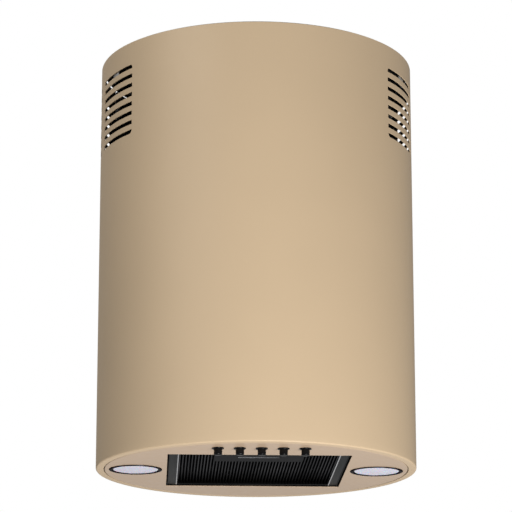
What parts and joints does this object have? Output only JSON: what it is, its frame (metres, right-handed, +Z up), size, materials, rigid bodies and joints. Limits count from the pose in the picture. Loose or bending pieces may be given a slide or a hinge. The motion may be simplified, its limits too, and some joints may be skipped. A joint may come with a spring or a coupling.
{
  "type": "island range hood",
  "caption": "Cylindrical island range hood for ceiling mounting: slotted tube, flat underside with grease filter, round lamps and push-buttons, blower inside.",
  "frame": {"origin": "centre of the ceiling face, on the tube axis at the top of the ceiling plate", "axes": "+Z up towards the ceiling along the tube axis; -Y towards the user, where the push-buttons are; +X to the right seen from the front"},
  "size_m": [0.39, 0.39, 0.519],
  "materials": {
    "beige_paint": "satin champagne-beige powder coat",
    "black_paint": "matte black powder coat",
    "galvanised": "galvanised sheet steel, faint spangle",
    "zinc_screw": "bright zinc plate",
    "dark_aluminium": "anthracite anodised, satin",
    "mesh_aluminium": "anthracite anodised pleated mesh",
    "pale_aluminium": "plain expanded aluminium",
    "black_plastic": "semi-gloss black moulding",
    "black_moulding": "matte black moulding",
    "chrome_ring": "dark polished chrome",
    "frosted_lens": "frosted diffuser",
    "cast_aluminium": "as-cast",
    "steel_shaft": "ground steel",
    "grey_plastic": "moulded grey",
    "green_plastic": "moulded green",
    "black_rubber": "moulded rubber"
  },
  "bodies": {
    "chassis": {"outer_tube": "beige_paint", "bottom_panel": "beige_paint", "top_plate": "black_paint", "filter_seat": "black_paint", "tube_bracket_1": "galvanised", "tube_bracket_2": "galvanised", "tube_bracket_3": "galvanised", "tube_bracket_4": "galvanised", "frame_post_front_left": "galvanised", "frame_post_front_right": "galvanised", "frame_post_back_left": "galvanised", "frame_post_back_right": "galvanised", "air_box": "galvanised", "switch_bracket": "galvanised", "motor_bracket": "galvanised", "control_box": "galvanised", "control_box_lid": "galvanised", "bracket_screw_1": "zinc_screw", "bracket_screw_2": "zinc_screw", "bracket_screw_3": "zinc_screw", "bracket_screw_4": "zinc_screw", "button_bezel_1": "black_plastic", "button_bezel_2": "black_plastic", "button_bezel_3": "black_plastic", "button_bezel_4": "black_plastic", "button_bezel_5": "black_plastic", "switch_bank": "black_moulding", "scroll_left": "black_moulding", "scroll_right": "black_moulding", "inlet_ring_left": "black_moulding", "inlet_ring_right": "black_moulding", "outlet_adapter": "black_moulding", "outlet_collar": "black_moulding", "lamp_bezel_left": "chrome_ring", "lamp_bezel_right": "chrome_ring", "lamp_lens_left": "frosted_lens", "lamp_lens_right": "frosted_lens", "lamp_body_left": "cast_aluminium", "lamp_body_right": "cast_aluminium", "motor_body": "cast_aluminium", "damper_pin": "steel_shaft", "capacitor": "grey_plastic", "led_driver": "grey_plastic", "terminal_block": "green_plastic", "cable_gland": "black_rubber", "cable_grommet": "black_rubber"},
    "button_1": {"button_cap_1": "black_plastic"},
    "button_2": {"button_cap_2": "black_plastic"},
    "button_3": {"button_cap_3": "black_plastic"},
    "button_4": {"button_cap_4": "black_plastic"},
    "button_5": {"button_cap_5": "black_plastic"},
    "filter": {"filter_frame": "dark_aluminium", "filter_mesh": "mesh_aluminium", "filter_core": "pale_aluminium", "filter_handle": "dark_aluminium"},
    "latch": {"filter_latch": "galvanised"},
    "fan": {"impeller": "black_moulding", "motor_shaft": "steel_shaft"},
    "flap_front": {"damper_flap_front": "black_moulding"},
    "flap_back": {"damper_flap_back": "black_moulding"}
  },
  "joints": [
    {"name": "button_1_press", "type": "slide", "parent": "chassis", "child": "button_1", "axis": [0, 0, 1], "range_m": [0, 0.003], "stiffness_N_per_m": 400},
    {"name": "button_2_press", "type": "slide", "parent": "chassis", "child": "button_2", "axis": [0, 0, 1], "range_m": [0, 0.003], "stiffness_N_per_m": 400},
    {"name": "button_3_press", "type": "slide", "parent": "chassis", "child": "button_3", "axis": [0, 0, 1], "range_m": [0, 0.003], "stiffness_N_per_m": 400},
    {"name": "button_4_press", "type": "slide", "parent": "chassis", "child": "button_4", "axis": [0, 0, 1], "range_m": [0, 0.003], "stiffness_N_per_m": 400},
    {"name": "button_5_press", "type": "slide", "parent": "chassis", "child": "button_5", "axis": [0, 0, 1], "range_m": [0, 0.003], "stiffness_N_per_m": 400},
    {"name": "filter_swing", "type": "hinge", "parent": "chassis", "child": "filter", "pos_m": [0, 0.1132, -0.5082], "axis": [1, 0, 0], "range_deg": [0, 60]},
    {"name": "latch_slide", "type": "slide", "parent": "filter", "child": "latch", "axis": [0, 1, 0], "range_m": [0, 0.005], "stiffness_N_per_m": 300},
    {"name": "fan_spin", "type": "hinge", "parent": "chassis", "child": "fan", "pos_m": [0, -0.01, -0.31], "axis": [1, 0, 0], "continuous": true},
    {"name": "flap_front_swing", "type": "hinge", "parent": "chassis", "child": "flap_front", "pos_m": [0, 0, -0.1225], "axis": [-1, 0, 0], "range_deg": [0, 75]},
    {"name": "flap_back_swing", "type": "hinge", "parent": "chassis", "child": "flap_back", "pos_m": [0, 0, -0.1225], "axis": [1, 0, 0], "range_deg": [0, 75]}
  ]
}
